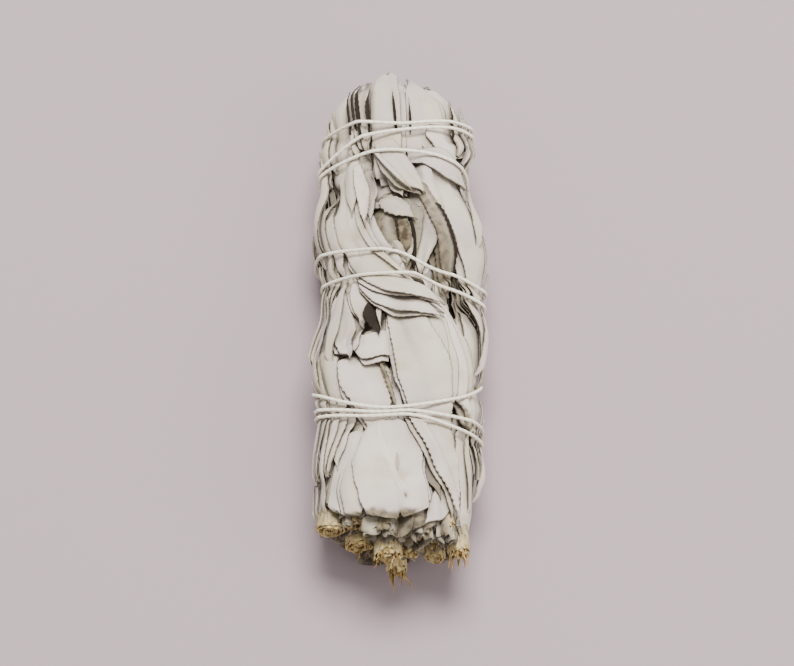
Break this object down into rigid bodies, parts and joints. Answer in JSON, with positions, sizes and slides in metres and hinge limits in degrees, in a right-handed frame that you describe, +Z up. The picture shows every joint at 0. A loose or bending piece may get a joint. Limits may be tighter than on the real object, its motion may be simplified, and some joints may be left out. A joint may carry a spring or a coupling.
{
  "type": "dried sage bunch",
  "caption": "Small bound bunch of dried white sage lying on its side: felted grey-white leaves, cut tan stems at one end and thin cotton string wound round it.",
  "frame": {"origin": "middle of the bunch seen from above, on the surface it lies on", "axes": "+Y along the bunch from the cut stems to the leaf tips, +Z up, +X to the right seen from the cut stems"},
  "size_m": [0.0377, 0.1145, 0.0289],
  "materials": {
    "leaf": "matte, felted",
    "stem": "matte, fibrous",
    "string": "matte, twisted cotton"
  },
  "bodies": {
    "root": {"sprig_01_leaves": "leaf", "sprig_02_leaves": "leaf", "sprig_03_leaves": "leaf", "sprig_04_leaves": "leaf", "sprig_05_leaves": "leaf", "sprig_06_leaves": "leaf", "sprig_07_leaves": "leaf", "sprig_08_leaves": "leaf", "sprig_09_leaves": "leaf", "sprig_10_leaves": "leaf", "sprig_11_leaves": "leaf", "sprig_12_leaves": "leaf", "sprig_01_stem": "stem", "sprig_02_stem": "stem", "sprig_03_stem": "stem", "sprig_04_stem": "stem", "sprig_05_stem": "stem", "sprig_06_stem": "stem", "sprig_07_stem": "stem", "sprig_08_stem": "stem", "sprig_09_stem": "stem", "sprig_10_stem": "stem", "sprig_11_stem": "stem", "sprig_12_stem": "stem", "string": "string"}
  },
  "joints": []
}
